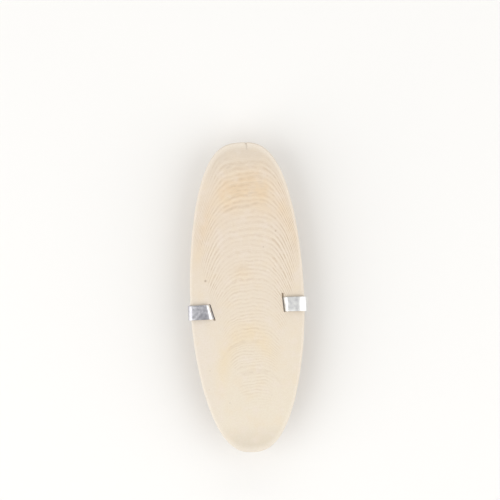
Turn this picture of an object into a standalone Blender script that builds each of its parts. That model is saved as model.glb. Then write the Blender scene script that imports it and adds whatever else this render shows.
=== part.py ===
"""A trimmed cuttlebone held in a bent sheet-metal cage clip, lying on the clip's two cage hooks.

The bone lies with its rubbed, flat belly up and its domed back down. +Y runs along it to the head end, +X
to the right as the belly is looked at, and +Z up. The origin is on the surface that the hooks stand on,
under the middle of the bone. All lengths are in metres and all angles in degrees, unless a comment says
otherwise.
"""

import math

import bmesh
import bpy
from mathutils import Vector

MM = 0.001

# The bone's outline, seen from the belly side. Its widest line lies a little towards the tail.
# A roundness pair is how blunt the end is along the bone and across it.
LENGTH = 166.0 * MM
HALF_WIDTH = 30.6 * MM
WIDEST_Y = -3.6 * MM
HEAD_ROUNDNESS = (2.0, 2.8)
TAIL_ROUNDNESS = (1.72, 2.5)

# The bone's thickness: a low wall round the flat belly, and a domed back below it.
THICKNESS = 16.5 * MM
WALL = 3.4 * MM
WALL_LEAN = 0.35 * MM
EDGE_ROUND = 1.0 * MM
DOME_ROUNDNESS = (2.4, 1.5)

# The back's own relief: a median rib with a groove each side, and low growth steps in arches across it.
RIB_HEIGHT = 0.45 * MM
RIB_SPREAD = 4.5 * MM
GROOVE_DEPTH = 0.30 * MM
GROOVE_SPREAD = 2.6 * MM
GROOVE_AT_TAIL = 7.5 * MM
GROOVE_AT_HEAD = 17.0 * MM
LEFT_AT_HEAD = 0.4
STEP_HEIGHT = 0.08 * MM
STEP_LENGTH = 13.0 * MM
STEP_ARCH = 0.9

# The nick in the head end's rim.
NICK_X = 2.5 * MM
NICK_WIDTH = 0.9 * MM
NICK_LENGTH = 2.0 * MM
NICK_DEPTH = 1.8 * MM

# The clip: one strip of sheet, crossing the back a little aslant, with two cage hooks at its middle.
SHEET = 0.5 * MM
STRIP_WIDTH = 7.8 * MM
STRIP_Y = -5.9 * MM
STRIP_SLANT = 2.7
CLEARANCE = 0.3 * MM
SIDE_GAP = 0.8 * MM
FLAT_LAND = 5.0 * MM

# The clip's two tabs, folded over the belly's edges. TAB_LIFT is the height of the sheet's middle over the
# belly where their tips bend down into it. In each tab, reach is how many mm from the bone's axis that
# bend starts, slope is the tab's direction against +X and rise its climb away from the bend, folds are the
# (angle, radius in mm) of its bends over the edge, and the tip has an angle, a bend radius and a length,
# both in mm. bend_lean and tip_lean are how far the bend's start and the tip's end lean from +Y, and
# slit_reach is how many mm the slit runs past the tip to the head and to the tail.
TAB_LIFT = 1.2 * MM
LEFT_TAB = {
    "side": -1,
    "reach": 21.3,
    "slope": 1.1,
    "rise": 0.0,
    "folds": ((90.0, 2.2),),
    "tip_angle": 48.0,
    "tip_bend": 1.5,
    "tip_length": 2.7,
    "bend_lean": 10.5,
    "tip_lean": 17.5,
    "slit_reach": (0.4, 0.9),
}
RIGHT_TAB = {
    "side": 1,
    "reach": 21.7,
    "slope": -0.6,
    "rise": 3.0,
    "folds": ((39.0, 6.0), (54.0, 2.4)),
    "tip_angle": 45.0,
    "tip_bend": 1.5,
    "tip_length": 2.7,
    "bend_lean": 0.8,
    "tip_lean": 5.5,
    "slit_reach": (2.2, 0.4),
}
LEAN_FADE = 4.0 * MM
SLIT_BEHIND = 0.3 * MM
SLIT_AHEAD = 0.5 * MM
SLIT_BELOW = 0.4 * MM
SLIT_ABOVE = 2.0 * MM

# The cage hooks, one towards each end of the bone. A cage wire of up to 4 mm lies between hook and bone.
HOOK_GAP = 4.5 * MM
HOOK_HALF_WIDTH = 4.0 * MM
HOOK_BEND = 1.0 * MM
HOOK_REACH = 15.0 * MM
HOOK_LIP = 2.2 * MM
HOOK_LIP_RISE = 0.8 * MM
HOOK_NOSE = 0.55

# Levels above the surface that the hooks stand on.
HOOK_Z = SHEET / 2
STRIP_Z = SHEET + HOOK_GAP + SHEET / 2
BACK_Z = STRIP_Z + SHEET / 2 + CLEARANCE
BELLY_Z = BACK_Z + THICKNESS

# How finely the shapes are divided.
GRID_ACROSS = 22
GRID_ALONG = 58
ROUND_STEPS = 3
BEND_STEP = 11.0
BACK_SAMPLES = 48
SLOPE_STEP = 0.2 * MM
SHARP_ANGLE = 35.0
SHARE_HALVINGS = 40


def clear_scene():
    for thing in list(bpy.data.objects):
        bpy.data.objects.remove(thing)


def material(name, colour, roughness, metallic):
    made = bpy.data.materials.new(name)
    made.use_nodes = True
    shader = made.node_tree.nodes["Principled BSDF"]
    shader.inputs["Base Color"].default_value = (*colour, 1.0)
    shader.inputs["Roughness"].default_value = roughness
    shader.inputs["Metallic"].default_value = metallic
    return made


def add_object(name, bm):
    """A new object from a bmesh, with its faces turned outward."""
    bmesh.ops.recalc_face_normals(bm, faces=bm.faces)
    mesh = bpy.data.meshes.new(name)
    bm.to_mesh(mesh)
    bm.free()
    thing = bpy.data.objects.new(name, mesh)
    bpy.context.scene.collection.objects.link(thing)
    return thing


def finish(thing, made_of):
    """Smooth shading but for the sharp edges, and the material."""
    thing.data.shade_smooth()
    thing.data.set_sharp_from_angle(angle=math.radians(SHARP_ANGLE))
    thing.data.materials.append(made_of)


def cut(thing, cutter):
    """Cut thing with a hidden cutter."""
    cutter.hide_render = True
    cutter.display_type = "WIRE"
    boolean = thing.modifiers.new(cutter.name, "BOOLEAN")
    boolean.operation = "DIFFERENCE"
    boolean.solver = "EXACT"
    boolean.object = cutter


def bridge(bm, ring, other):
    """Faces between two closed rings of as many points."""
    for k, _ in enumerate(ring):
        after = (k + 1) % len(ring)
        bm.faces.new((ring[k], ring[after], other[after], other[k]))


def add_prism(name, outline_points, other_points):
    """A closed solid between two flat outlines of as many points."""
    bm = bmesh.new()
    ring = [bm.verts.new(point) for point in outline_points]
    other = [bm.verts.new(point) for point in other_points]
    bm.faces.new(ring)
    bm.faces.new(other)
    bridge(bm, ring, other)
    return add_object(name, bm)


# The bone's form. Here y is counted from the widest line, and share is how far out a point lies, from 0
# at the middle to 1 on the outline.


def reach_and_roundness(y):
    """The outline's reach from its widest line towards the end that y lies on, and that end's roundness."""
    if y >= 0:
        return LENGTH / 2 - WIDEST_Y, HEAD_ROUNDNESS
    return LENGTH / 2 + WIDEST_Y, TAIL_ROUNDNESS


def half_width(y):
    """Half of the bone's width."""
    reach, (along, across) = reach_and_roundness(y)
    out = min(abs(y) / reach, 1.0)
    return HALF_WIDTH * (1.0 - out**along) ** (1.0 / across)


def outline(angle):
    """The outline's point at an angle, in radians, round the middle of the widest line."""
    rise = math.sin(angle)
    reach, _ = reach_and_roundness(rise)
    y = reach * rise
    return math.copysign(half_width(y), math.cos(angle)), y


def share_at(x, y):
    """The share at a point, found by halving, or 1 outside the outline."""
    reach, _ = reach_and_roundness(y)
    low, high = 0.0, 1.0
    for _ in range(SHARE_HALVINGS):
        share = (low + high) / 2
        outside = abs(y) > share * reach or abs(x) > share * half_width(y / share)
        low, high = (share, high) if outside else (low, share)
    return high


def rim_fade(share):
    """1 over the inner two thirds of the back, falling to 0 at its rim."""
    return min(1.0, 3.0 * (1.0 - share))


def back_relief(x, y):
    """How far the rib, the grooves and the growth steps stand out of the back."""
    to_head = (y + WIDEST_Y + LENGTH / 2) / LENGTH
    rib = RIB_HEIGHT * math.exp(-((x / RIB_SPREAD) ** 2))
    groove_x = GROOVE_AT_TAIL + (GROOVE_AT_HEAD - GROOVE_AT_TAIL) * to_head
    groove = GROOVE_DEPTH * math.exp(-(((abs(x) - groove_x) / GROOVE_SPREAD) ** 2))
    arch = y + STEP_ARCH * x * x / HALF_WIDTH
    step = STEP_HEIGHT * math.sin(2 * math.pi * arch / STEP_LENGTH)
    return (rib - groove) * (1.0 - (1.0 - LEFT_AT_HEAD) * to_head) + step


def back_height(x, y, share):
    """The height of the domed back over the surface that the clip stands on."""
    bulge, flatness = DOME_ROUNDNESS
    depth = (THICKNESS - WALL) * (1.0 - share**bulge) ** (1.0 / flatness)
    sunk = RIB_HEIGHT + STEP_HEIGHT - back_relief(x, y)
    return BELLY_Z - WALL - depth + sunk * rim_fade(share)


def grid_on_outline():
    """Points of a square grid spread over the outline, in rows of (x, y, share)."""
    rows = []
    for j in range(GRID_ALONG + 1):
        up = 2.0 * j / GRID_ALONG - 1.0
        row = []
        for i in range(GRID_ACROSS + 1):
            right = 2.0 * i / GRID_ACROSS - 1.0
            across = right * math.sqrt(1.0 - up * up / 2.0)
            along = up * math.sqrt(1.0 - right * right / 2.0)
            share = min(math.hypot(across, along), 1.0)
            x, y = outline(math.atan2(along, across))
            row.append((x * share, y * share, share))
        rows.append(row)
    return rows


def rim_loop(rows):
    """The grid's outer points in order, once round."""
    bottom = rows[0][:-1]
    right = [row[-1] for row in rows[:-1]]
    top = rows[-1][:0:-1]
    left = [row[0] for row in rows[:0:-1]]
    return bottom + right + top + left


def rim_normals(loop):
    """The outward normal of the outline at each point of the loop."""
    normals = []
    for k, _ in enumerate(loop):
        before, after = loop[k - 1], loop[(k + 1) % len(loop)]
        along = Vector((after[0] - before[0], after[1] - before[1]))
        normals.append(Vector((along.y, -along.x)).normalized())
    return normals


def rim_levels():
    """(inset, height) of the rings between the dome and the flat belly, from the bottom up."""
    levels = [(WALL_LEAN, BELLY_Z - WALL), (WALL_LEAN * 0.3, BELLY_Z - 0.6 * WALL)]
    for k in range(ROUND_STEPS + 1):
        turn = math.pi / 2 * k / ROUND_STEPS
        inset = EDGE_ROUND * (1.0 - math.cos(turn))
        levels.append((inset, BELLY_Z - EDGE_ROUND * (1.0 - math.sin(turn))))
    return levels


def add_bone():
    """The bone: a domed back, a low wall with a rounded edge, and a flat belly."""
    bm = bmesh.new()
    rows = grid_on_outline()
    loop = rim_loop(rows)
    normals = rim_normals(loop)
    rings = []
    for inset, height in rim_levels():
        ring = []
        for (x, y, _), normal in zip(loop, normals):
            place = (x - inset * normal.x, y - inset * normal.y + WIDEST_Y, height)
            ring.append(bm.verts.new(place))
        rings.append(ring)
    for ring, above in zip(rings, rings[1:]):
        bridge(bm, ring, above)
    bm.faces.new(rings[-1])

    on_rim = dict(zip(loop, rings[0]))
    back = []
    for row in rows:
        line = []
        for point in row:
            x, y, share = point
            vertex = on_rim.get(point) or bm.verts.new((x, y + WIDEST_Y, back_height(x, y, share)))
            line.append(vertex)
        back.append(line)
    for line, ahead in zip(back, back[1:]):
        for a, b, c, d in zip(line, line[1:], ahead[1:], ahead):
            bm.faces.new((a, d, c, b))
    return add_object("bone", bm)


def add_nick():
    """The cutter of the small notch in the head end's rim."""
    rim_y = LENGTH / 2
    corners = (
        (NICK_X - NICK_WIDTH / 2, rim_y + NICK_LENGTH / 2),
        (NICK_X + NICK_WIDTH / 2, rim_y + NICK_LENGTH / 2),
        (NICK_X, rim_y - NICK_LENGTH),
    )
    low = [(x, y, BELLY_Z - NICK_DEPTH) for x, y in corners]
    high = [(x, y, BELLY_Z + NICK_DEPTH) for x, y in corners]
    return add_prism("rim_nick", low, high)


# The clip's form. Its parts are first drawn as the middle line of the sheet.


def direction(heading):
    return Vector((math.cos(math.radians(heading)), math.sin(math.radians(heading))))


def bend_path(place, heading, turn, radius):
    """The points of a bend that starts at place, and the heading after it."""
    steps = max(2, math.ceil(abs(turn) / BEND_STEP))
    piece = turn / steps
    chord = 2.0 * radius * math.sin(math.radians(abs(piece)) / 2.0)
    points = []
    for _ in range(steps):
        place = place + direction(heading + piece / 2.0) * chord
        points.append(place)
        heading += piece
    return points, heading


def tab_path(tab):
    """A tab's line as (distance out from the bone's axis, height over the belly), and its tip's last index.

    It runs from the tip, up out of the bone, out over the belly and round its edge.
    """
    bend_at = Vector((tab["reach"] * MM, TAB_LIFT))
    tip, heading = bend_path(bend_at, 180.0 + tab["rise"], tab["tip_angle"], tab["tip_bend"] * MM)
    tip.append(tip[-1] + direction(heading) * tab["tip_length"] * MM)

    fold_width = 0.0
    heading = tab["rise"]
    for turn, radius in tab["folds"]:
        sine_before, sine_after = direction(heading).y, direction(heading - turn).y
        fold_width += radius * MM * (sine_before - sine_after)
        heading -= turn
    side_out = HALF_WIDTH + SIDE_GAP + SHEET / 2
    outward = direction(tab["rise"])
    fold_at = bend_at + outward * (side_out - fold_width - bend_at.x) / outward.x

    points = tip[::-1] + [bend_at, (bend_at + fold_at) / 2, fold_at]
    heading = tab["rise"]
    for turn, radius in tab["folds"]:
        arc, heading = bend_path(points[-1], heading, -turn, radius * MM)
        points += arc
    return points, len(tip)


def strip_y(x):
    """The y of the slanting strip's middle line."""
    return STRIP_Y + x * math.tan(math.radians(STRIP_SLANT))


def tab_line(tab):
    """A tab's stations from the tip to the side, each as (x, z, middle y, lean of the sheet across)."""
    points, bend_index = tab_path(tab)
    side = tab["side"]
    edge_x = side * HALF_WIDTH
    slope = math.tan(math.radians(tab["slope"]))
    bend_lean, tip_lean = (-math.tan(math.radians(tab[name])) for name in ("bend_lean", "tip_lean"))
    stations = []
    for k, point in enumerate(points):
        x = side * point.x
        y = strip_y(edge_x) + slope * (x - edge_x)
        beyond = point.x - points[bend_index].x
        if k < bend_index:
            to_tip = beyond / (points[0].x - points[bend_index].x)
            lean = bend_lean + (tip_lean - bend_lean) * to_tip
        else:
            lean = bend_lean * max(0.0, 1.0 - beyond / LEAN_FADE)
        stations.append((x, BELLY_Z + point.y, y, lean))
    return stations


def back_at(x, y):
    """The bone's underside at a point."""
    return back_height(x, y, share_at(x, y))


def back_path(left_foot, right_foot):
    """The strip's (x, z) line across the back, drawn tight over the dome, and its lowest level."""
    points = [left_foot, right_foot]
    for k in range(-BACK_SAMPLES, BACK_SAMPLES + 1):
        x = HALF_WIDTH * math.sin(math.pi / 2 * k / (BACK_SAMPLES + 1))
        y = strip_y(x) - WIDEST_Y
        lowest = min(back_at(x, y + side * STRIP_WIDTH / 2) for side in (-1, 0, 1))
        slope = (back_at(x + SLOPE_STEP, y) - back_at(x - SLOPE_STEP, y)) / (2 * SLOPE_STEP)
        away = Vector((slope, -1.0)).normalized() * (CLEARANCE + SHEET / 2)
        points.append(Vector((x, lowest)) + away)
    level = min(point.y for point in points)
    points += [Vector((-FLAT_LAND, level)), Vector((FLAT_LAND, level))]
    return tight_line(points), level


def tight_line(points):
    """The line that a band takes when it is drawn tight round the points from below, from left to right."""
    line = []
    for point in sorted(points, key=lambda p: (p.x, p.y)):
        while len(line) > 1:
            first, second = line[-1] - line[-2], point - line[-2]
            if first.x * second.y > first.y * second.x:
                break
            line.pop()
        line.append(point)
    return line


def strip_line():
    """All of the strip's stations, from the left tab's tip, round the back, to the right tab's tip."""
    left, right = tab_line(LEFT_TAB), tab_line(RIGHT_TAB)
    across, level = back_path(Vector(left[-1][:2]), Vector(right[-1][:2]))
    middle = [(point.x, point.y) for point in across[1:-1]]
    middle += [(share * HOOK_HALF_WIDTH, level) for share in (-1.0, -HOOK_NOSE, HOOK_NOSE, 1.0)]
    columns = [(x, z, strip_y(x), 0.0) for x, z in sorted(middle)]
    return left + columns + right[::-1], level


def hook_path(level):
    """A hook's line as (distance beyond the strip's edge, height), from below that edge to the lip."""
    bend, heading = bend_path(Vector((0.0, level)), 0.0, -90.0, HOOK_BEND)
    knee = Vector((bend[-1].x, HOOK_Z + HOOK_BEND))
    foot, _ = bend_path(knee, heading, 90.0, HOOK_BEND)
    lip_at = Vector((HOOK_REACH - STRIP_WIDTH / 2 - HOOK_LIP, HOOK_Z))
    lip = Vector((HOOK_LIP, HOOK_LIP_RISE))
    return bend + [knee] + foot + [lip_at, lip_at + lip * 0.6, lip_at + lip]


def add_hook(bm, edge, side, level):
    """One hook, going out from a stretch of the strip's edge and narrowing at its nose."""
    path = hook_path(level)
    before = edge
    for k, point in enumerate(path):
        narrow = HOOK_NOSE if k == len(path) - 1 else 1.0
        row = []
        for vertex in edge:
            place = (vertex.co.x * narrow, vertex.co.y + side * point.x, point.y)
            row.append(bm.verts.new(place))
        for a, b, c, d in zip(before, before[1:], row[1:], row):
            bm.faces.new((a, b, c, d))
        before = row


def add_clip():
    """The clip: the strip's middle surface with a hook out of each edge, thickened to the sheet."""
    bm = bmesh.new()
    stations, level = strip_line()
    edges = {-1: [], 1: []}
    for x, z, y, lean in stations:
        for side, line in edges.items():
            offset = side * STRIP_WIDTH / 2
            line.append(bm.verts.new((x + lean * offset, y + offset, z)))
    for a, b, c, d in zip(edges[-1], edges[-1][1:], edges[1][1:], edges[1]):
        bm.faces.new((a, b, c, d))
    for side, line in edges.items():
        reach = HOOK_HALF_WIDTH + CLEARANCE
        hook_edge = [vertex for vertex in line if abs(vertex.co.x) < reach and vertex.co.z < BACK_Z]
        add_hook(bm, hook_edge, side, level)
    clip = add_object("cage_clip", bm)
    sheet = clip.modifiers.new("sheet", "SOLIDIFY")
    sheet.thickness = SHEET
    sheet.offset = 0.0
    sheet.use_even_offset = True
    return clip


def add_slit(name, tab):
    """The cutter of the slit that a tab's tip has made: a leaning box, longer than the tip is wide."""
    (tip_x, tip_z, _, tip_lean), (bend_x, bend_z, y, bend_lean) = tab_line(tab)[:2]
    tip, bend = Vector((tip_x, tip_z)), Vector((bend_x, bend_z))
    down = (tip - bend).normalized()
    ahead = Vector((-tab["side"], 0.0))
    ahead = (ahead - down * ahead.dot(down)).normalized()
    top = bend - down * SLIT_ABOVE
    bottom = tip + down * SLIT_BELOW
    front, behind = ahead * (SHEET / 2 + SLIT_AHEAD), -ahead * (SHEET / 2 + SLIT_BEHIND)
    section = (
        (top + behind, bend_lean),
        (top + front, bend_lean),
        (bottom + front, tip_lean),
        (bottom + behind, tip_lean),
    )
    past_head, past_tail = (reach * MM for reach in tab["slit_reach"])
    ends = []
    for across in (STRIP_WIDTH / 2 + past_head, -STRIP_WIDTH / 2 - past_tail):
        ends.append([(point.x + lean * across, y + across, point.y) for point, lean in section])
    return add_prism(name, *ends)


def build():
    clear_scene()
    bone = add_bone()
    finish(bone, material("chalky_bone", (0.84, 0.74, 0.61), 0.92, 0.0))
    cut(bone, add_slit("left_slit", LEFT_TAB))
    cut(bone, add_slit("right_slit", RIGHT_TAB))
    cut(bone, add_nick())
    clip = add_clip()
    finish(clip, material("dull_aluminium", (0.62, 0.62, 0.64), 0.38, 1.0))


build()
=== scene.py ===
"""A cuttlebone in its sheet-metal cage clip, lying belly up under soft light and seen from above."""

import math

import bpy
import numpy as np
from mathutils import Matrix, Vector, noise


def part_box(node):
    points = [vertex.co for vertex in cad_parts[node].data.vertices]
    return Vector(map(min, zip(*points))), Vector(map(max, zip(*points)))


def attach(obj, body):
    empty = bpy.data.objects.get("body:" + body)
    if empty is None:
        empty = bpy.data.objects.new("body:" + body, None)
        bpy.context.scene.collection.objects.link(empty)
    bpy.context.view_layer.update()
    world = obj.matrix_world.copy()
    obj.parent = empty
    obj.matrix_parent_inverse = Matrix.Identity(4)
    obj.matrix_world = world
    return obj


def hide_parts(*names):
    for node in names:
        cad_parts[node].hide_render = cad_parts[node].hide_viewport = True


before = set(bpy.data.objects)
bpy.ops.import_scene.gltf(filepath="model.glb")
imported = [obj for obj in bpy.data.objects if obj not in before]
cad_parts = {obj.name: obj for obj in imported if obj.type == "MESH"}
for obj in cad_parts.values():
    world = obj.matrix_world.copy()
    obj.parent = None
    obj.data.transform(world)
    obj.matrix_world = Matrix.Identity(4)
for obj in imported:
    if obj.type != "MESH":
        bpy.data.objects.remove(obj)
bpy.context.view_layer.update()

# The bone. One natural piece: light, chalky layers under a thin hard back. Its brittle rim has been
# trimmed to an oval and its soft belly rubbed flat, so that its layers show there as fine nested arches.

MM = 0.001
bone_low, bone_high = (Vector(corner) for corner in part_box("bone"))
BONE_LENGTH = bone_high.y - bone_low.y
HALF_WIDTH = (bone_high.x - bone_low.x) / 2
BELLY_Z = bone_high.z
THICKNESS = 16.5 * MM
WIDEST_Y = -3.6 * MM
HEAD_REACH = BONE_LENGTH / 2 - WIDEST_Y
TAIL_REACH = BONE_LENGTH / 2 + WIDEST_Y
HEAD_ROUNDNESS = (2.0, 2.8)
TAIL_ROUNDNESS = (1.72, 2.5)
OUTLINE_STEPS = 40000
SHARE_HALVINGS = 30


def outline_slope(x, y):
    """How steeply the oval's equation rises at points of the outline, along x and along y."""
    reach = np.where(y >= 0, HEAD_REACH, TAIL_REACH)
    along = np.where(y >= 0, HEAD_ROUNDNESS[0], TAIL_ROUNDNESS[0])
    across = np.where(y >= 0, HEAD_ROUNDNESS[1], TAIL_ROUNDNESS[1])
    slope_x = across * np.sign(x) * np.abs(x / HALF_WIDTH) ** (across - 1.0) / HALF_WIDTH
    slope_y = along * np.sign(y) * np.abs(y / reach) ** (along - 1.0) / reach
    return slope_x, slope_y


def outline_at(turn):
    """The outline's points and outward normals at angles that run evenly along each quarter of it.

    Here as in all that is called with a share, y is counted from the bone's widest line.
    """
    fine = np.linspace(-math.pi, math.pi, OUTLINE_STEPS + 1)
    rise = np.sin(fine)
    reach = np.where(rise >= 0, HEAD_REACH, TAIL_REACH)
    along = np.where(rise >= 0, HEAD_ROUNDNESS[0], TAIL_ROUNDNESS[0])
    across = np.where(rise >= 0, HEAD_ROUNDNESS[1], TAIL_ROUNDNESS[1])
    out = np.clip(1.0 - np.abs(rise) ** along, 0.0, None) ** (1.0 / across)
    fine_x = HALF_WIDTH * out * np.sign(np.cos(fine))
    fine_y = reach * rise
    length = np.concatenate([[0.0], np.cumsum(np.hypot(np.diff(fine_x), np.diff(fine_y)))])
    quarters = np.linspace(-math.pi, math.pi, 5)
    wanted = np.interp(turn, quarters, np.interp(quarters, fine, length))
    x = np.interp(wanted, length, fine_x)
    y = np.interp(wanted, length, fine_y)
    slope_x, slope_y = outline_slope(x, y)
    steepness = np.hypot(slope_x, slope_y)
    return x, y, slope_x / steepness, slope_y / steepness


def square_to_disc(u, v):
    """A square's points as (share of the way out, turn) on a disc."""
    across = u * np.sqrt(1.0 - v * v / 2.0)
    along = v * np.sqrt(1.0 - u * u / 2.0)
    return np.clip(np.hypot(across, along), 0.0, 1.0), np.arctan2(along, across)


def share_at(x, y):
    """How far out points lie, from 0 at the middle to 1 on the outline, found by halving."""
    reach = np.where(y >= 0, HEAD_REACH, TAIL_REACH)
    along = np.where(y >= 0, HEAD_ROUNDNESS[0], TAIL_ROUNDNESS[0])
    across = np.where(y >= 0, HEAD_ROUNDNESS[1], TAIL_ROUNDNESS[1])
    low, high = np.zeros(np.shape(x)), np.ones(np.shape(x))
    for _ in range(SHARE_HALVINGS):
        share = (low + high) / 2
        filled = np.abs(x / (share * HALF_WIDTH)) ** across + np.abs(y / (share * reach)) ** along
        low, high = np.where(filled > 1.0, share, low), np.where(filled > 1.0, high, share)
    return high


def smooth_step(value, low, high):
    """0 up to low and 1 from high, with a smooth rise between."""
    t = np.clip((value - low) / (high - low), 0.0, 1.0)
    return t * t * (3.0 - 2.0 * t)


def hills(x, y, size, seed):
    """Smooth random hills and hollows of a given size, between about -1 and 1."""
    return np.array([noise.noise((a, b, seed)) for a, b in zip(x / size, y / size)]) * 1.6


# The layers end on the belly in arches that are blunt near the head and rounder towards the tail.
# LAYER_PITCH gives the distance between two of them along the bone's axis, as (y, pitch) in mm, and
# LAYER_WAVES the waves in them, as (length, height, seed).
ARCH_DROP = (56.0 * MM, 60.0 * MM)
ARCH_MIDDLE = 0.8 * MM
ARCH_BLUNTNESS = (2.85, 4.1)
ARCH_BLUNT_FROM = (14.0 * MM, 56.0 * MM)
ARCH_STRAIGHT_FROM = 0.77
ARCH_NARROWING = 0.10
LAYER_PITCH = (
    (-60, 1.75), (-25, 1.8), (-8, 1.95), (5, 2.25),
    (15, 2.4), (24, 2.9), (52, 3.0), (75, 3.3),
)
LAYER_WAVES = ((15.0 * MM, 0.6 * MM, 3.1), (5.0 * MM, 0.5 * MM, 8.4), (2.2 * MM, 0.26 * MM, 5.9))
LAYER_UNEVENNESS = 0.35
LAYER_SKEW = 0.085
ARCH_ROUNDS = 30


def arch_form(out, bluntness):
    """How far an arch has dropped at a share of the way out. It runs straight on near the rim."""
    curved = np.minimum(out, ARCH_STRAIGHT_FROM)
    straight = bluntness * ARCH_STRAIGHT_FROM ** (bluntness - 1.0) * (out - curved)
    return curved**bluntness + straight


def layer_top(x, y):
    """Where the layer at each point of the belly crosses the bone's axis."""
    flank = smooth_step(np.abs(x), 11 * MM, 19 * MM)
    waves = sum(hills(x, y, length, seed) * height for length, height, seed in LAYER_WAVES)
    y = y + waves * (1.0 - 0.5 * flank) - x * LAYER_SKEW
    width = HALF_WIDTH * (1.0 - ARCH_NARROWING * smooth_step(y, 30 * MM, 66 * MM))
    out = np.clip(np.abs(x - ARCH_MIDDLE) / width, 0.0, 1.0)
    top = y.copy()
    for _ in range(ARCH_ROUNDS):
        at_head = smooth_step(top, *ARCH_BLUNT_FROM)
        drop, bluntness = (low + (high - low) * at_head for low, high in (ARCH_DROP, ARCH_BLUNTNESS))
        top = 0.5 * top + 0.5 * (y + drop * arch_form(out, bluntness))
    return top


def layer_count(top):
    """How many layers lie below a place on the bone's axis."""
    heights = np.linspace(-100.0, 160.0, 1001) * MM
    known, pitch = np.array(LAYER_PITCH).T
    uneven = 1.0 + LAYER_UNEVENNESS * hills(heights, 0.0 * heights, 4.5 * MM, 4.2)
    counts = np.cumsum(uneven / np.interp(heights, known * MM, pitch * MM)) * (heights[1] - heights[0])
    return np.interp(top, heights, counts)


def layer_clearness(x, y, share, top):
    """How clearly the layers show: most on the flanks, and not at the rim or the tail."""
    out = np.abs(x)
    inside = 1.0 - smooth_step(share, 0.95, 0.99)
    middle = 0.28 + 0.20 * smooth_step(y, 44 * MM, 54 * MM)
    side = np.where(x < 0, 0.68, 0.74)
    head_end = np.where(x < 0, 46 * MM, 58 * MM)
    tail_end = np.where(x < 0, -18 * MM, -46 * MM)
    flank = side * smooth_step(out, 9 * MM, 18 * MM) * smooth_step(y, tail_end, 8 * MM)
    flank = flank * (1.0 - smooth_step(y, head_end, head_end + 14 * MM))
    at_head = smooth_step(y, 46 * MM, 58 * MM) * smooth_step(out, 12 * MM, 20 * MM)
    rubbed_below = np.where(x < 0, -54 * MM, -75 * MM) + np.where(x < 0, 4.0, 4.2) * (out - 5 * MM)
    rubbed_below = np.maximum(rubbed_below, -54 * MM)
    kept = smooth_step(y - rubbed_below, -10 * MM, 8 * MM) * (1.0 - smooth_step(y, 70 * MM, 78 * MM))
    patchy = 0.9 + 0.4 * hills(x, y, 9 * MM, 5.7)
    unequal = 0.9 + 0.45 * hills(top, 0.12 * x, 2.6 * MM, 8.8)
    shown = np.maximum(middle * (1.0 - 0.8 * at_head), flank)
    return np.clip(shown * patchy * unequal, 0.0, 1.0) * inside * kept


# A few layers are darker than their neighbours. Each is given by where it crosses the axis, from which x
# to which x it runs, all in mm, and how dark it is.
DARK_LAYERS = (
    (70.7, -9, 12, 0.4), (64.3, -9, 12, 0.5), (61.1, -8, 11, 0.4),
    (58.4, -9, 12, 0.5), (55.2, -9, 12, 0.5), (48.8, -10, 14, 0.4),
    (15.7, -6, 1, 0.4), (-23.6, -14, 5, 0.4), (-40.2, -4, 16, 0.4),
)
DARK_LAYER_WIDTH = 0.5 * MM
DARK_END = 2


def dark_layers(x, top):
    """How dark the few dark layers make each point of the belly."""
    dark = np.zeros(np.shape(x))
    for height, low, high, depth in DARK_LAYERS:
        line = np.exp(-(((top - height * MM) / DARK_LAYER_WIDTH) ** 2))
        begun = smooth_step(x, (low - DARK_END) * MM, (low + DARK_END) * MM)
        ended = smooth_step(x, (high - DARK_END) * MM, (high + DARK_END) * MM)
        dark = np.maximum(dark, depth * line * (begun - ended))
    return dark * (0.7 + 0.8 * hills(x, top, 2.5 * MM, 6.6))


def stain_depth(x, y, top):
    """How tan the chalk is: in an arch near the head, a paler one past the middle and a small patch."""
    cloud = 1.0 + 0.35 * hills(x, y, 8 * MM, 4.4) + 0.2 * hills(x, y, 3 * MM, 2.9)
    leg = smooth_step(y, 8 * MM, 34 * MM)
    leg = leg * (1.0 - 0.5 * smooth_step(np.abs(x - 1 * MM), 10 * MM, 16 * MM))
    head_arch = np.exp(-(((top - 57 * MM) / (11 * MM)) ** 2)) * leg
    around = np.hypot((x + 1 * MM) / (14 * MM), (y + 47 * MM) / (29 * MM))
    tail_leg = np.where(x < 0, smooth_step(y, -56 * MM, -40 * MM), smooth_step(y, -42 * MM, -22 * MM))
    tail_arch = 0.5 * np.exp(-(((around - 1.0) / 0.24) ** 2)) * tail_leg
    patch = 0.4 * np.exp(-((x + 2 * MM) ** 2 + (y - 12 * MM) ** 2) / (5 * MM) ** 2)
    return np.clip((head_arch + tail_arch + patch) * cloud, 0.0, 1.0)


RIB_HEIGHT, RIB_SPREAD = 0.45 * MM, 4.5 * MM
GROOVE_DEPTH, GROOVE_SPREAD = 0.30 * MM, 2.6 * MM
GROOVE_AT_TAIL, GROOVE_AT_HEAD = 7.5 * MM, 17.0 * MM
LEFT_AT_HEAD = 0.4
STEP_HEIGHT, STEP_LENGTH, STEP_ARCH = 0.08 * MM, 13.0 * MM, 0.9
DOME_ROUNDNESS = (2.4, 1.5)
GRANULE_SIZE, GRANULE_HEIGHT = 1.3 * MM, 0.16 * MM
WALL = 3.4 * MM


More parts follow.
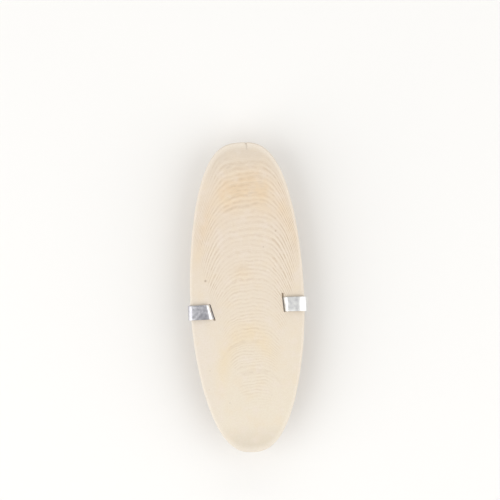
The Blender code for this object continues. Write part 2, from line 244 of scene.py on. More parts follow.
def back_height(x, y, share):
    """The domed back, with its median rib, its grooves and its low growth steps."""
    to_head = (y + WIDEST_Y + BONE_LENGTH / 2) / BONE_LENGTH
    rib = RIB_HEIGHT * np.exp(-((x / RIB_SPREAD) ** 2))
    groove_x = GROOVE_AT_TAIL + (GROOVE_AT_HEAD - GROOVE_AT_TAIL) * to_head
    groove = GROOVE_DEPTH * np.exp(-(((np.abs(x) - groove_x) / GROOVE_SPREAD) ** 2))
    arch = y + STEP_ARCH * x * x / HALF_WIDTH
    step = STEP_HEIGHT * np.sin(2 * math.pi * arch / STEP_LENGTH)
    relief = (rib - groove) * (1.0 - (1.0 - LEFT_AT_HEAD) * to_head) + step
    bulge, flatness = DOME_ROUNDNESS
    depth = (THICKNESS - WALL) * (1.0 - share**bulge) ** (1.0 / flatness)
    sunk = (RIB_HEIGHT + STEP_HEIGHT - relief) * np.minimum(1.0, 3.0 * (1.0 - share))
    return BELLY_Z - WALL - depth + sunk


def granules(x, y, share):
    """The hard, rounded grains that the back is covered with, laid in arches like its growth steps."""
    arch = y + STEP_ARCH * x * x / HALF_WIDTH
    cells = [noise.voronoi((a, b, 0.0))[0][0] for a, b in zip(x / GRANULE_SIZE, arch / GRANULE_SIZE)]
    return GRANULE_HEIGHT * (0.5 - np.array(cells)) * np.minimum(1.0, 8.0 * (1.0 - share))


def read_points(mesh):
    flat = np.empty(len(mesh.vertices) * 3)
    mesh.vertices.foreach_get("co", flat)
    return flat.reshape(-1, 3)


def write_points(mesh, points):
    mesh.vertices.foreach_set("co", points.astype(np.float32).ravel())
    mesh.update()


# The belly is a grid whose outer cells turn down over the rounded edge into the trimmed wall.
BELLY_COLUMNS, BELLY_ROWS = 124, 384
EDGE_ROUND = 1.0 * MM
WALL_LEAN = 0.35 * MM
EDGE_CELLS, WALL_CELLS = 4, 9
RIM_WAVER = 0.10 * MM
LAYER_SHEET_STEP = 0.10 * MM
RIDGE_HEIGHT = 0.035 * MM
DENT_DEPTH = 0.10 * MM
GRAIN_DEPTH = 0.008 * MM
BELLY_SUNK = 0.12 * MM
rim_profile = [(EDGE_ROUND, 0.0)]
for step in range(1, EDGE_CELLS + 1):
    turn = math.pi / 2 * step / EDGE_CELLS
    rim_profile.append((EDGE_ROUND * (1 - math.sin(turn)), -EDGE_ROUND * (1 - math.cos(turn))))
for step in range(1, WALL_CELLS + 1):
    down = step / WALL_CELLS
    rim_profile.append((WALL_LEAN * down, -EDGE_ROUND - (WALL - EDGE_ROUND) * down))
rim_profile = np.array(rim_profile)
rim_cells = EDGE_CELLS + WALL_CELLS

bpy.ops.object.select_all(action="DESELECT")
bpy.ops.mesh.primitive_grid_add(x_subdivisions=BELLY_COLUMNS, y_subdivisions=BELLY_ROWS, size=2.0)
bone = bpy.context.object
bone.name = "cuttlebone"
points = read_points(bone.data)
column = np.rint((points[:, 0] + 1.0) / 2.0 * BELLY_COLUMNS)
row = np.rint((points[:, 1] + 1.0) / 2.0 * BELLY_ROWS)
from_rim = np.minimum(np.minimum(column, BELLY_COLUMNS - column), np.minimum(row, BELLY_ROWS - row))
ring = np.clip(rim_cells - from_rim, 0, rim_cells).astype(int)
u = np.clip((column - BELLY_COLUMNS / 2) / (BELLY_COLUMNS / 2 - rim_cells), -1.0, 1.0)
v = np.clip((row - BELLY_ROWS / 2) / (BELLY_ROWS / 2 - rim_cells), -1.0, 1.0)
share, turn = square_to_disc(u, v)
x, y, normal_x, normal_y = outline_at(turn)
inset, drop = rim_profile[ring].T
inset = inset + (hills(x, y, 9 * MM, 1.3) * RIM_WAVER + RIM_WAVER) * (ring <= EDGE_CELLS)
sheets = np.random.default_rng(7).uniform(0.0, LAYER_SHEET_STEP, rim_cells + 1)
on_wall = (ring > EDGE_CELLS) & (ring < rim_cells)
inset = inset + on_wall * sheets[ring] * (1.0 + hills(x + ring * 3 * MM, y, 5 * MM, 7.7))
x = (x - inset * normal_x) * share
y = (y - inset * normal_y) * share + WIDEST_Y
top = layer_top(x, y)
ridges = RIDGE_HEIGHT * np.sin(2 * math.pi * layer_count(top)) * layer_clearness(x, y, share, top)
dents = hills(x, y, 22 * MM, 6.2) * DENT_DEPTH + hills(x, y, 1.6 * MM, 2.2) * GRAIN_DEPTH
rubbed = ridges + dents * (1 - smooth_step(share, 0.85, 1.0))
points[:, 0] = x
points[:, 1] = y
points[:, 2] = BELLY_Z + drop + (rubbed - BELLY_SUNK) * (ring == 0)
write_points(bone.data, points)

# The domed back is a second grid, joined to the wall's lower edge.
BACK_COLUMNS, BACK_ROWS = 110, 300
BACK_REACH = 0.994
bpy.ops.object.select_all(action="DESELECT")
bpy.ops.mesh.primitive_grid_add(x_subdivisions=BACK_COLUMNS, y_subdivisions=BACK_ROWS, size=2.0)
back = bpy.context.object
points = read_points(back.data)
share, turn = square_to_disc(points[:, 0], points[:, 1])
share = share * BACK_REACH
x, y, normal_x, normal_y = outline_at(turn)
x, y = x * share, y * share
points[:, 0] = x
points[:, 1] = y + WIDEST_Y
points[:, 2] = back_height(x, y, share) - granules(x, y, share)
write_points(back.data, points)

bone.select_set(True)
bpy.context.view_layer.objects.active = bone
bpy.ops.object.join()
bpy.ops.object.mode_set(mode="EDIT")
bpy.ops.mesh.select_mode(type="EDGE")
bpy.ops.mesh.select_all(action="DESELECT")
bpy.ops.mesh.select_non_manifold()
bpy.ops.mesh.bridge_edge_loops()
bpy.ops.mesh.select_all(action="SELECT")
bpy.ops.mesh.normals_make_consistent(inside=False)
bpy.ops.object.mode_set(mode="OBJECT")

# The clip's two ends bite into the belly. Of each tab, reach is how far from the axis its tip bends
# down, slope its direction against +X, rise its climb outward, folds the (angle, radius) of its bends
# over the edge, bend_lean and tip_lean how far the bend and the tip's end lean from +Y, slit_open the
# gap before the tip, and slit_reach how far the slit runs past it to the head and to the tail.
# Lengths there are in mm.
LEFT_TAB = {
    "side": -1,
    "reach": 21.3,
    "slope": 1.1,
    "rise": 0.0,
    "folds": ((90.0, 2.2),),
    "tip_angle": 48.0,
    "tip_bend": 1.5,
    "tip_length": 2.7,
    "bend_lean": 10.5,
    "tip_lean": 17.5,
    "slit_open": 0.3,
    "slit_reach": (0.2, 0.8),
}
RIGHT_TAB = {
    "side": 1,
    "reach": 21.7,
    "slope": -0.6,
    "rise": 3.0,
    "folds": ((39.0, 6.0), (54.0, 2.4)),
    "tip_angle": 45.0,
    "tip_bend": 1.5,
    "tip_length": 2.7,
    "bend_lean": 0.8,
    "tip_lean": 5.5,
    "slit_open": 0.5,
    "slit_reach": (2.1, 0.2),
}
SHEET = 0.5 * MM
STRIP_WIDTH = 7.8 * MM
STRIP_Y = -5.9 * MM
STRIP_SLANT = 2.7
SIDE_GAP = 0.8 * MM
TAB_LIFT = 1.2 * MM
LEAN_FADE = 4.0 * MM
BEND_STEP = 7.0
SLIT_BEHIND = 0.15 * MM
SLIT_BELOW = 0.4 * MM
SLIT_ABOVE = 2.0 * MM
CUT_PARTS = 3
CUT_ROUGHNESS = 0.02


def direction(heading):
    return Vector((math.cos(math.radians(heading)), math.sin(math.radians(heading))))


def bend_path(place, heading, turn, radius):
    """The points of a bend that starts at place, and the heading after it."""
    steps = max(2, math.ceil(abs(turn) / BEND_STEP))
    piece = turn / steps
    chord = 2.0 * radius * math.sin(math.radians(abs(piece)) / 2.0)
    points = []
    for _ in range(steps):
        place = place + direction(heading + piece / 2.0) * chord
        points.append(place)
        heading += piece
    return points, heading


def strip_y(x):
    """The y of the slanting strip's middle line."""
    return STRIP_Y + x * math.tan(math.radians(STRIP_SLANT))


def tab_line(tab):
    """A tab's stations from its tip to the bone's side, each as (x, y, z, lean of the sheet across)."""
    bend_at = Vector((tab["reach"] * MM, TAB_LIFT))
    tip, heading = bend_path(bend_at, 180.0 + tab["rise"], tab["tip_angle"], tab["tip_bend"] * MM)
    tip.append(tip[-1] + direction(heading) * tab["tip_length"] * MM)
    fold_width = 0.0
    heading = tab["rise"]
    for turn, radius in tab["folds"]:
        fold_width += radius * MM * (direction(heading).y - direction(heading - turn).y)
        heading -= turn
    side_out = HALF_WIDTH + SIDE_GAP + SHEET / 2
    outward = direction(tab["rise"])
    fold_at = bend_at + outward * (side_out - fold_width - bend_at.x) / outward.x
    line = tip[::-1] + [bend_at.lerp(fold_at, share / 4) for share in range(5)]
    heading = tab["rise"]
    for turn, radius in tab["folds"]:
        arc, heading = bend_path(line[-1], heading, -turn, radius * MM)
        line += arc
    side = tab["side"]
    edge_x = side * HALF_WIDTH
    slope = math.tan(math.radians(tab["slope"]))
    bend_lean, tip_lean = (-math.tan(math.radians(tab[name])) for name in ("bend_lean", "tip_lean"))
    stations = []
    for k, point in enumerate(line):
        x = side * point.x
        y = strip_y(edge_x) + slope * (x - edge_x)
        beyond = point.x - bend_at.x
        if k < len(tip):
            lean = bend_lean + (tip_lean - bend_lean) * beyond / (line[0].x - bend_at.x)
        else:
            lean = bend_lean * max(0.0, 1.0 - beyond / LEAN_FADE)
        stations.append((x, y, BELLY_Z + point.y, lean))
    return stations


def cut_away(name, near_ring, far_ring):
    """Cut a box out of the bone. It is given by its two ends, of four corners each."""
    bpy.ops.object.select_all(action="DESELECT")
    bpy.ops.mesh.primitive_cube_add(size=2.0)
    cutter = bpy.context.object
    corners = {(-1, -1): 0, (1, -1): 1, (1, 1): 2, (-1, 1): 3}
    for vertex in cutter.data.vertices:
        a, b, c = (round(value) for value in vertex.co)
        vertex.co = (near_ring if c < 0 else far_ring)[corners[a, b]]
    bpy.ops.object.mode_set(mode="EDIT")
    bpy.ops.mesh.select_all(action="SELECT")
    bpy.ops.mesh.subdivide(number_cuts=CUT_PARTS, fractal=CUT_ROUGHNESS, seed=len(name))
    bpy.ops.mesh.normals_make_consistent(inside=False)
    bpy.ops.object.mode_set(mode="OBJECT")
    boolean = bone.modifiers.new(name, "BOOLEAN")
    boolean.object = cutter
    boolean.solver = "EXACT"
    bpy.context.view_layer.objects.active = bone
    bpy.ops.object.modifier_apply(modifier=name)
    bpy.data.objects.remove(cutter)


for name, tab in (("left_slit", LEFT_TAB), ("right_slit", RIGHT_TAB)):
    (tip_x, _, tip_z, tip_lean), (bend_x, y, bend_z, bend_lean) = tab_line(tab)[:2]
    tip, bend = Vector((tip_x, tip_z)), Vector((bend_x, bend_z))
    down = (tip - bend).normalized()
    ahead = Vector((-tab["side"], 0.0))
    ahead = (ahead - down * ahead.dot(down)).normalized()
    top = bend - down * SLIT_ABOVE
    bottom = tip + down * SLIT_BELOW
    front, behind = ahead * (SHEET / 2 + tab["slit_open"] * MM), -ahead * (SHEET / 2 + SLIT_BEHIND)
    section = (
        (top + behind, bend_lean),
        (top + front, bend_lean),
        (bottom + front, tip_lean),
        (bottom + behind, tip_lean),
    )
    past_head, past_tail = (reach * MM for reach in tab["slit_reach"])
    ends = []
    for across in (-STRIP_WIDTH / 2 - past_tail, STRIP_WIDTH / 2 + past_head):
        ends.append([(point.x + lean * across, y + across, point.y) for point, lean in section])
    cut_away(name, *ends)

# A small nick has been broken out of the head end's rim, and a hairline crack runs on from it.
NICK_X = 2.2 * MM
CRACK_LEAN = 0.15
PAST_RIM = 1.0 * MM
rim_y = BONE_LENGTH / 2
for name, (width, length, depth, end_width) in (
    ("nick", (1.3 * MM, 1.8 * MM, 2.6 * MM, 0.14 * MM)),
    ("crack", (0.30 * MM, 4.4 * MM, 1.4 * MM, 0.08 * MM)),
):
    start_x, end_x = NICK_X - CRACK_LEAN * PAST_RIM, NICK_X + CRACK_LEAN * length
    ends = []
    for level in (BELLY_Z - depth, BELLY_Z + depth):
        ends.append(
            [
                (start_x - width / 2, rim_y + PAST_RIM, level),
                (start_x + width / 2, rim_y + PAST_RIM, level),
                (end_x + end_width / 2, rim_y - length, level),
                (end_x - end_width / 2, rim_y - length, level),
            ]
        )
    cut_away(name, *ends)

# The cuts leave short edges and many-sided faces, which are welded and divided so that few are slivers.
WELD = 0.02 * MM
bpy.ops.object.select_all(action="DESELECT")
bone.select_set(True)
bpy.context.view_layer.objects.active = bone
bpy.ops.object.mode_set(mode="EDIT")
bpy.ops.mesh.select_mode(type="VERT")
bpy.ops.mesh.select_all(action="SELECT")
bpy.ops.mesh.remove_doubles(threshold=WELD)
bpy.ops.mesh.select_mode(type="FACE")
bpy.ops.mesh.select_all(action="DESELECT")
bpy.ops.mesh.select_face_by_sides(number=4, type="GREATER")
bpy.ops.mesh.quads_convert_to_tris(quad_method="BEAUTY", ngon_method="BEAUTY")
bpy.ops.object.mode_set(mode="OBJECT")

points = read_points(bone.data)
x, y = points[:, 0], points[:, 1]
top = layer_top(x, y)
for name, values in (
    ("layer", layer_count(top)),
    ("clear", layer_clearness(x, y, share_at(x, y - WIDEST_Y), top)),
    ("stain", stain_depth(x, y, top)),
    ("dark", dark_layers(x, top)),
    # This mask marks the rounded edge that gets a painted highlight.
    ("rim", smooth_step(share_at(x, y - WIDEST_Y), 0.945, 0.99)),
):
    made = bone.data.attributes.new(name, "FLOAT", "POINT")
    made.data.foreach_set("value", values.astype(np.float32))


def srgb(red, green, blue):
    """A colour as a picture shows it, from 0 to 255, as the linear numbers that a shader takes."""
    parts = [c / 255 for c in (red, green, blue)]
    return tuple(c / 12.92 if c <= 0.04045 else ((c + 0.055) / 1.055) ** 2.4 for c in parts) + (1.0,)


def link(tree, node, socket, value):
    if isinstance(value, bpy.types.NodeSocket):
        tree.links.new(value, node.inputs[socket])
    else:
        node.inputs[socket].default_value = value


def maths(tree, kind, first, second=0.0):
    node = tree.nodes.new("ShaderNodeMath")
    node.operation = kind
    link(tree, node, 0, first)
    link(tree, node, 1, second)
    return node.outputs[0]


def spread(tree, value, low, high, to_low=0.0, to_high=1.0):
    """A value's range from low to high, spread over another range and held within it."""
    node = tree.nodes.new("ShaderNodeMapRange")
    for socket, number in zip(range(5), (value, low, high, to_low, to_high)):
        link(tree, node, socket, number)
    return node.outputs["Result"]


def tint(tree, factor, first, second):
    """Two colours mixed by a factor."""
    node = tree.nodes.new("ShaderNodeMix")
    node.data_type = "RGBA"
    for socket, value in ((0, factor), (6, first), (7, second)):
        link(tree, node, socket, value)
    return node.outputs[2]


def grain(tree, place, size, detail=2.0, roughness=0.5, stretch=(1.0, 1.0, 1.0)):
    """Noise with hills of the given size, as a number about 0.5."""
    node = tree.nodes.new("ShaderNodeTexNoise")
    mapping = tree.nodes.new("ShaderNodeMapping")
    mapping.inputs["Scale"].default_value = [axis / size for axis in stretch]
    link(tree, mapping, "Vector", place)
    link(tree, node, "Vector", mapping.outputs["Vector"])
    node.inputs["Scale"].default_value = 1.0
    node.inputs["Detail"].default_value = detail
    node.inputs["Roughness"].default_value = roughness
    return node.outputs["Fac"]


def attribute(tree, name):
    node = tree.nodes.new("ShaderNodeAttribute")
    node.attribute_name = name
    return node.outputs["Fac"]


CHALK_AT_HEAD, CHALK_AT_TAIL = srgb(220, 207, 191), srgb(224, 215, 198)
DARKER_TAIL_END, DARKER_HEAD_END = srgb(205, 196, 180), srgb(208, 197, 182)
GREYER_LEFT = srgb(222, 213, 202)
STAIN_AT_HEAD, STAIN_AT_TAIL = srgb(222, 200, 171), srgb(228, 211, 174)
TAN_CLOUD, PALE_CLOUD = srgb(224, 209, 185), srgb(226, 215, 206)
FURROW, CREST = srgb(180, 154, 124), srgb(246, 238, 224)
DARK_CHALK, FINE_LINE = srgb(170, 146, 120), srgb(204, 184, 158)
RIM_PAINTED_HIGHLIGHT, DUST, SPECK = srgb(233, 225, 213), srgb(206, 188, 163), srgb(150, 126, 104)
SHEET_FACE, SHEET_GAP = srgb(234, 224, 208), srgb(214, 198, 174)
BACK_PALE, BACK_TAN, GRANULE_HOLLOW_SHADE = srgb(219, 206, 188), srgb(208, 190, 167), srgb(188, 168, 144)

chalk = bpy.data.materials.new("rubbed_chalk")
chalk.use_nodes = True
tree = chalk.node_tree
shader = tree.nodes["Principled BSDF"]
place = tree.nodes.new("ShaderNodeTexCoord").outputs["Object"]
axes = tree.nodes.new("ShaderNodeSeparateXYZ")
link(tree, axes, "Vector", place)
layer, clear, stain, dark, rim = (
    attribute(tree, name) for name in ("layer", "clear", "stain", "dark", "rim")
)

# The chalk's colour darkens a little towards the head, and darkens again near both ends.
to_tail = spread(tree, axes.outputs["Y"], 35 * MM, -60 * MM)
colour = tint(tree, to_tail, CHALK_AT_HEAD, CHALK_AT_TAIL)
at_tail = spread(tree, axes.outputs["Y"], -68 * MM, -84 * MM)
colour = tint(tree, at_tail, colour, DARKER_TAIL_END)
to_head = spread(tree, axes.outputs["Y"], 60 * MM, 80 * MM, 0.0, 0.8)
colour = tint(tree, to_head, colour, DARKER_HEAD_END)
left_tail = maths(
    tree,
    "MULTIPLY",
    spread(tree, axes.outputs["X"], -12 * MM, -26 * MM),
    spread(tree, axes.outputs["Y"], 15 * MM, -15 * MM, 0.0, 0.7),
)
colour = tint(tree, left_tail, colour, GREYER_LEFT)
stain_colour = tint(tree, to_tail, STAIN_AT_HEAD, STAIN_AT_TAIL)
colour = tint(tree, stain, colour, stain_colour)
clouds = grain(tree, place, 7 * MM, 3.0)
colour = tint(tree, spread(tree, clouds, 0.5, 0.75, 0.0, 0.4), colour, TAN_CLOUD)
pale_clouds = grain(tree, place, 5.1 * MM, 2.0)
colour = tint(tree, spread(tree, pale_clouds, 0.52, 0.75, 0.0, 0.4), colour, PALE_CLOUD)

wave = maths(tree, "SINE", maths(tree, "MULTIPLY", layer, 2 * math.pi))
streaks = spread(tree, grain(tree, place, 3.2 * MM, 3.0, 0.6), 0.38, 0.6, 0.25, 1.0)
shown = maths(tree, "MULTIPLY", clear, streaks)
furrow = maths(tree, "MULTIPLY", spread(tree, wave, 0.2, -1.0, 0.0, 0.75), shown)
colour = tint(tree, furrow, colour, FURROW)
crest = maths(tree, "MULTIPLY", spread(tree, wave, 0.2, 1.0, 0.0, 0.4), shown)
colour = tint(tree, crest, colour, CREST)
colour = tint(tree, spread(tree, dark, 0.0, 1.0, 0.0, 0.55), colour, DARK_CHALK)
fine_wave = maths(tree, "SINE", maths(tree, "MULTIPLY", layer, 8 * math.pi))
colour = tint(tree, spread(tree, fine_wave, 0.0, -1.0, 0.0, 0.22), colour, FINE_LINE)
# A painted highlight pales the rounded rim and stands in for a bright edge. Only a little of it is the
# rubbed edge's own paler chalk.
colour = tint(tree, maths(tree, "MULTIPLY", rim, 0.6), colour, RIM_PAINTED_HIGHLIGHT)
dust = grain(tree, place, 0.8 * MM, 4.0, 0.7)
colour = tint(tree, spread(tree, dust, 0.35, 0.7, 0.0, 0.27), colour, DUST)

# A few dark specks and pits, each by its place and its radius in mm, and how dark it is.
SPECKS = (
    (-22.0, 9.5, 0.9, 0.6), (9.6, 26.6, 0.5, 0.5), (16.4, 34.9, 0.5, 0.5),
    (-11.3, -56.1, 0.6, 0.25), (11.3, -52.7, 0.5, 0.2),
    (-21.3, -38.6, 0.5, 0.25), (-22.2, -48.8, 0.5, 0.2),
)
for speck_x, speck_y, radius, depth in SPECKS:
    apart = tree.nodes.new("ShaderNodeVectorMath")
    apart.operation = "DISTANCE"
    link(tree, apart, 0, place)
    apart.inputs[1].default_value = (speck_x * MM, speck_y * MM, BELLY_Z)
    inside = spread(tree, apart.outputs["Value"], radius * MM, 0.3 * radius * MM, 0.0, depth)
    colour = tint(tree, inside, colour, SPECK)

# The wall shows the stacked layers from their edges, and the back is a hard, grainy skin.
SHEET_PITCH = 0.42 * MM
SHEET_WANDER = 1.6 * MM
SHEET_CLIMB = 0.012
BACK_GRANULE = 0.55 * MM
below = spread(tree, axes.outputs["Z"], BELLY_Z - 1.0 * MM, BELLY_Z - 1.5 * MM)
wander = maths(tree, "MULTIPLY", grain(tree, place, 9 * MM, 3.0), SHEET_WANDER)
level = maths(tree, "ADD", axes.outputs["Z"], wander)
level = maths(tree, "ADD", level, maths(tree, "MULTIPLY", axes.outputs["Y"], SHEET_CLIMB))
sheet_edges = maths(tree, "SINE", maths(tree, "MULTIPLY", level, 2 * math.pi / SHEET_PITCH))
wall_colour = tint(tree, spread(tree, sheet_edges, 0.3, -1.0), SHEET_FACE, SHEET_GAP)
colour = tint(tree, below, colour, wall_colour)
on_back = spread(tree, axes.outputs["Z"], BELLY_Z - WALL + 0.1 * MM, BELLY_Z - WALL - 0.3 * MM)
bloom = grain(tree, place, 10 * MM, 4.0, 0.6)
back_colour = tint(tree, spread(tree, bloom, 0.3, 0.75), BACK_PALE, BACK_TAN)
cells = tree.nodes.new("ShaderNodeTexVoronoi")
link(tree, cells, "Vector", place)
cells.inputs["Scale"].default_value = 1.0 / BACK_GRANULE
# Painted shade darkens the hollows between the back's grains, where the bump sinks them.
granule_hollow_shade = spread(tree, cells.outputs["Distance"], 0.1, 0.6, 0.0, 0.35)
back_colour = tint(tree, granule_hollow_shade, back_colour, GRANULE_HOLLOW_SHADE)
colour = tint(tree, on_back, colour, back_colour)
tree.links.new(colour, shader.inputs["Base Color"])
shader.inputs["Roughness"].default_value = 0.95
shader.inputs["Specular IOR Level"].default_value = 0.2

height = maths(tree, "ADD", maths(tree, "MULTIPLY", dust, 0.6), grain(tree, place, 0.25 * MM, 2.0))
pits = maths(tree, "MULTIPLY", cells.outputs["Distance"], maths(tree, "MULTIPLY", on_back, -3.0))
height = maths(tree, "ADD", height, pits)
bump = tree.nodes.new("ShaderNodeBump")
link(tree, bump, "Height", height)
bump.inputs["Strength"].default_value = 0.6
bump.inputs["Distance"].default_value = 0.05 * MM
tree.links.new(bump.outputs["Normal"], shader.inputs["Normal"])
bone.data.materials.append(chalk)

bpy.ops.object.select_all(action="DESELECT")
bone.select_set(True)
bpy.context.view_layer.objects.active = bone
bpy.ops.object.shade_smooth_by_angle(angle=math.radians(40))
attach(bone, "root")
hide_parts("bone")

# The cage clip. One strip of soft aluminium, sheared from sheet and bent round the back by hand. Its
# ends fold over the belly's edges and bite in, and a hook for the cage wire is bent out of each long
# edge.

HOOK_HALF_WIDTH = 4.0 * MM
HOOK_BEND = 1.0 * MM
HOOK_REACH = 15.0 * MM
HOOK_LIP = 2.2 * MM
HOOK_LIP_RISE = 0.8 * MM
HOOK_NOSE = 0.55
ACROSS_CELLS = 8
NEAR = 0.01 * MM
CLEARANCE = 0.3 * MM
FLAT_LAND = 5.0 * MM
BACK_SAMPLES = 48
SLOPE_STEP = 0.2 * MM
RIPPLE = 0.05 * MM
DULLED_EDGE = 0.12 * MM


def back_at(x, y):
    return back_height(x, y, share_at(x, y))


def tight_line(points):
    """The line of a band drawn tight round the points from below, from left to right."""
    line = []
    for point in sorted(points, key=lambda p: (p.x, p.y)):
        while len(line) > 1:
            first, second = line[-1] - line[-2], point - line[-2]
            if first.x * second.y > first.y * second.x:
                break
            line.pop()
        line.append(point)
    return line


def back_line(left_foot, right_foot):
    """The strip's (x, z) line across the back, drawn tight over the dome, and its lowest level."""
    steps = np.arange(-BACK_SAMPLES, BACK_SAMPLES + 1) / (BACK_SAMPLES + 1)
    x = HALF_WIDTH * np.sin(math.pi / 2 * steps)
    y = strip_y(x) - WIDEST_Y
    lowest = np.min([back_at(x, y + side * STRIP_WIDTH / 2) for side in (-1, 0, 1)], axis=0)
    slope = (back_at(x + SLOPE_STEP, y) - back_at(x - SLOPE_STEP, y)) / (2 * SLOPE_STEP)
    points = [left_foot, right_foot]
    for place_x, place_z, steepness in zip(x, lowest, slope):
        away = Vector((steepness, -1.0)).normalized() * (CLEARANCE + SHEET / 2)
        points.append(Vector((place_x, place_z)) + away)
    level = min(point.y for point in points)
    points += [Vector((-FLAT_LAND, level)), Vector((FLAT_LAND, level))]
    return tight_line(points), level


left, right = tab_line(LEFT_TAB), tab_line(RIGHT_TAB)
left_foot, right_foot = (Vector((tab[-1][0], tab[-1][2])) for tab in (left, right))
across_back, level = back_line(left_foot, right_foot)
middle = [(point.x, point.y) for point in across_back[1:-1]]
middle += [(x * HOOK_HALF_WIDTH, level) for x in (-1.0, -0.5, 0.0, 0.5, 1.0)]
stations = left + [(x, strip_y(x), z, 0.0) for x, z in sorted(middle)] + right[::-1]

bpy.ops.object.select_all(action="DESELECT")
bpy.ops.mesh.primitive_grid_add(x_subdivisions=1, y_subdivisions=ACROSS_CELLS, size=STRIP_WIDTH)
clip = bpy.context.object
clip.name = "clip"
for vertex in clip.data.vertices:
    x, y, z, _ = stations[0] if vertex.co.x < 0 else stations[1]
    vertex.co = (x, y + vertex.co.y, z)


def select_points(piece, chosen):
    """Select a piece's points in edit mode, and stay there. chosen has a yes or no for each point."""
    bpy.context.view_layer.objects.active = piece
    bpy.ops.object.mode_set(mode="EDIT")
    bpy.ops.mesh.select_mode(type="VERT")
    bpy.ops.mesh.select_all(action="DESELECT")
    bpy.ops.object.mode_set(mode="OBJECT")
    piece.data.vertices.foreach_set("select", np.asarray(chosen, dtype=bool))
    bpy.ops.object.mode_set(mode="EDIT")


def draw_out(step):
    """Extrude the selected edge by a step."""
    bpy.ops.mesh.extrude_region_move(TRANSFORM_OT_translate={"value": step})


select_points(clip, [abs(vertex.co.x - stations[1][0]) < NEAR for vertex in clip.data.vertices])
for before, after in zip(stations[1:], stations[2:]):
    draw_out(Vector(after[:3]) - Vector(before[:3]))
bpy.ops.object.mode_set(mode="OBJECT")

# The bends where the tips go in lean across the strip.
points = read_points(clip.data)
line = np.array(stations)
apart = np.abs(points[:, None, 0] - line[:, 0]) + np.abs(points[:, None, 2] - line[:, 2])
nearest = np.argmin(apart, axis=1)
offset = points[:, 1] - line[nearest, 1]
points[:, 0] += line[nearest, 3] * offset
write_points(clip.data, points)

bend, heading = bend_path(Vector((0.0, level)), 0.0, -90.0, HOOK_BEND)
knee = Vector((bend[-1].x, SHEET / 2 + HOOK_BEND))
foot, _ = bend_path(knee, heading, 90.0, HOOK_BEND)
lip_at = Vector((HOOK_REACH - STRIP_WIDTH / 2 - HOOK_LIP, SHEET / 2))
lip = Vector((HOOK_LIP, HOOK_LIP_RISE))
hook = [Vector((0.0, level))] + bend + [knee] + foot + [lip_at, lip_at + lip * 0.6, lip_at + lip]
for side in (-1, 1):
    points = read_points(clip.data)
    edge_y = strip_y(points[:, 0]) + side * STRIP_WIDTH / 2
    on_edge = np.abs(points[:, 1] - edge_y) < NEAR
    on_edge &= np.abs(points[:, 0]) < HOOK_HALF_WIDTH + NEAR
    select_points(clip, on_edge & (points[:, 2] < BELLY_Z - THICKNESS))
    for before, after in zip(hook, hook[1:]):
        step = after - before
        draw_out((0.0, side * step.x, step.y))
    nose = (0.0, side * (STRIP_WIDTH / 2 + hook[-1].x) + STRIP_Y, hook[-1].y)
    bpy.ops.transform.resize(value=(HOOK_NOSE, 1.0, 1.0), center_override=nose)
    bpy.ops.object.mode_set(mode="OBJECT")

# Bent by hand, the sheet isn't quite flat anywhere.
points = read_points(clip.data)
x, y, z = points.T
ripple = hills(x + z, y, 3.2 * MM, 9.1) * RIPPLE
points[:, 2] += ripple * (z > SHEET)
write_points(clip.data, points)

sheet = clip.modifiers.new("sheet", "SOLIDIFY")
sheet.thickness = SHEET
sheet.offset = 0.0
sheet.use_even_offset = True
burr = clip.modifiers.new("dulled edges", "BEVEL")
burr.width = DULLED_EDGE
burr.segments = 2
burr.limit_method = "ANGLE"
burr.angle_limit = math.radians(50)
bpy.ops.object.select_all(action="DESELECT")
clip.select_set(True)
bpy.context.view_layer.objects.active = clip
for name in ("sheet", "dulled edges"):
    bpy.ops.object.modifier_apply(modifier=name)
bpy.ops.object.mode_set(mode="EDIT")
bpy.ops.mesh.select_all(action="SELECT")
bpy.ops.mesh.normals_make_consistent(inside=False)
bpy.ops.object.mode_set(mode="OBJECT")
bpy.ops.object.shade_smooth_by_angle(angle=math.radians(35))

DULL_LEFT, DULL_RIGHT = (0.42, 0.42, 0.45, 1.0), (0.70, 0.70, 0.70, 1.0)
BRIGHT_LEFT, BRIGHT_RIGHT = (0.74, 0.73, 0.76, 1.0), (0.84, 0.84, 0.82, 1.0)
PAINTED_TAB_SHADE, PAINTED_BEND_HIGHLIGHT = (0.27, 0.27, 0.30, 1.0), (0.97, 0.96, 0.95, 1.0)
BEND_MIDDLE = 21.8 * MM

dull_metal = bpy.data.materials.new("scuffed_aluminium_painted_light")
dull_metal.use_nodes = True
tree = dull_metal.node_tree
shader = tree.nodes["Principled BSDF"]
place = tree.nodes.new("ShaderNodeTexCoord").outputs["Object"]
blotches = grain(tree, place, 1.7 * MM, 3.0, 0.5)
brushed = grain(tree, place, 0.5 * MM, 3.0, 0.6, (0.25, 1.0, 1.0))
axes = tree.nodes.new("ShaderNodeSeparateXYZ")
link(tree, axes, "Vector", place)
# The right tab is painted lighter than the left: painted reflection and shade for how each catches the
# lights. The blotches between dull and bright are scuffs.
painted_sheen_to_right = spread(tree, axes.outputs["X"], -10 * MM, 10 * MM)
dull = tint(tree, painted_sheen_to_right, DULL_LEFT, DULL_RIGHT)
bright = tint(tree, painted_sheen_to_right, BRIGHT_LEFT, BRIGHT_RIGHT)
colour = tint(tree, spread(tree, blotches, 0.30, 0.72), dull, bright)

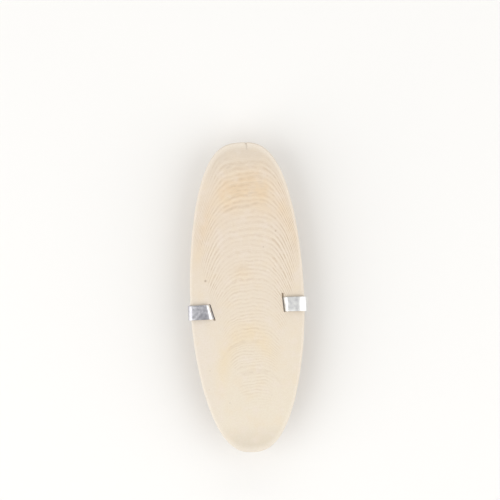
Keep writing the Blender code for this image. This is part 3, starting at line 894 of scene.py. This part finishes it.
# The left tab is painted darker just outside its bend, painted shade for its dim reflection, and a
# painted highlight lies along the bend itself, where it would reflect the light. The strip behind the
# bone has neither.
over_belly = spread(tree, axes.outputs["Z"], BELLY_Z - 1.0 * MM, BELLY_Z - 0.4 * MM)
toward_bend = spread(tree, axes.outputs["X"], -29 * MM, -24 * MM)
left_tab_shade = maths(tree, "MULTIPLY", toward_bend, spread(tree, axes.outputs["X"], -18 * MM, -20 * MM))
left_tab_shade = maths(tree, "MULTIPLY", left_tab_shade, over_belly)
to_tab_tail = spread(tree, axes.outputs["Y"], -4 * MM, -11 * MM, 0.1, 0.7)
colour = tint(tree, maths(tree, "MULTIPLY", left_tab_shade, to_tab_tail), colour, PAINTED_TAB_SHADE)
leaning = maths(tree, "MULTIPLY", axes.outputs["Y"], math.tan(math.radians(LEFT_TAB["bend_lean"])))
from_bend = maths(tree, "ADD", maths(tree, "ADD", axes.outputs["X"], leaning), BEND_MIDDLE)
bend_highlight = spread(tree, maths(tree, "ABSOLUTE", from_bend), 1.1 * MM, 0.5 * MM)
bend_highlight = maths(tree, "MULTIPLY", bend_highlight, over_belly)
colour = tint(tree, bend_highlight, colour, PAINTED_BEND_HIGHLIGHT)
tree.links.new(colour, shader.inputs["Base Color"])
tree.links.new(spread(tree, blotches, 0.35, 0.65, 0.30, 0.45), shader.inputs["Roughness"])
shader.inputs["Metallic"].default_value = 1.0
bump = tree.nodes.new("ShaderNodeBump")
link(tree, bump, "Height", maths(tree, "ADD", brushed, blotches))
bump.inputs["Strength"].default_value = 0.35
bump.inputs["Distance"].default_value = 0.05 * MM
tree.links.new(bump.outputs["Normal"], shader.inputs["Normal"])
clip.data.materials.append(dull_metal)
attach(clip, "root")
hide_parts("cage_clip")

# The table is one pale sheet, seen from straight above by a camera at the picture's scale. A soft
# light stands at each side, a little towards the tail, and a weaker one past the head. The room gives
# the rest.

bpy.ops.object.select_all(action="DESELECT")
bpy.ops.mesh.primitive_plane_add(size=4.0)
table = bpy.context.object
table.name = "table"
pale = bpy.data.materials.new("pale_table")
pale.use_nodes = True
shader = pale.node_tree.nodes["Principled BSDF"]
shader.inputs["Base Color"].default_value = (0.84, 0.83, 0.81, 1.0)
shader.inputs["Roughness"].default_value = 0.9
table.data.materials.append(pale)

PICTURE_SIZE = 500
PIXEL = 0.5346 * MM
BONE_PIXEL = (247.2, 297.3)
BONE_TILT = math.radians(2.1)
LENS = 135.0
SENSOR = 36.0
across = (PICTURE_SIZE / 2 - BONE_PIXEL[0]) * PIXEL
up = (BONE_PIXEL[1] - PICTURE_SIZE / 2) * PIXEL
seen_by = bpy.data.cameras.new("camera")
seen_by.lens = LENS
seen_by.sensor_width = SENSOR
seen_by.clip_start = 0.01
camera = bpy.data.objects.new("camera", seen_by)
bpy.context.scene.collection.objects.link(camera)
camera.location = (
    across * math.cos(BONE_TILT) + up * math.sin(BONE_TILT),
    -across * math.sin(BONE_TILT) + up * math.cos(BONE_TILT),
    BELLY_Z + PICTURE_SIZE * PIXEL * LENS / SENSOR,
)
camera.rotation_euler = (0.0, 0.0, -BONE_TILT)
bpy.context.scene.camera = camera


def add_light(name, spot, width, length, power):
    """A soft light that faces the bone, longer along it than across."""
    light = bpy.data.lights.new(name, "AREA")
    light.shape = "RECTANGLE"
    light.size = width
    light.size_y = length
    light.energy = power
    lamp = bpy.data.objects.new(name, light)
    lamp.location = spot
    lamp.rotation_euler = (-Vector(spot)).to_track_quat("-Z", "Y").to_euler()
    bpy.context.scene.collection.objects.link(lamp)


add_light("left_light", (-0.90, -0.34, 0.70), 1.3, 1.7, 10.8)
add_light("right_light", (0.90, -0.30, 0.74), 1.3, 1.7, 8.6)
add_light("head_light", (0.10, 1.10, 0.60), 1.4, 0.9, 2.8)
world = bpy.data.worlds.new("studio")
world.use_nodes = True
world.node_tree.nodes["Background"].inputs["Color"].default_value = (1.0, 1.0, 1.0, 1.0)
world.node_tree.nodes["Background"].inputs["Strength"].default_value = 0.58
bpy.context.scene.world = world
bpy.context.scene.view_settings.view_transform = "Standard"
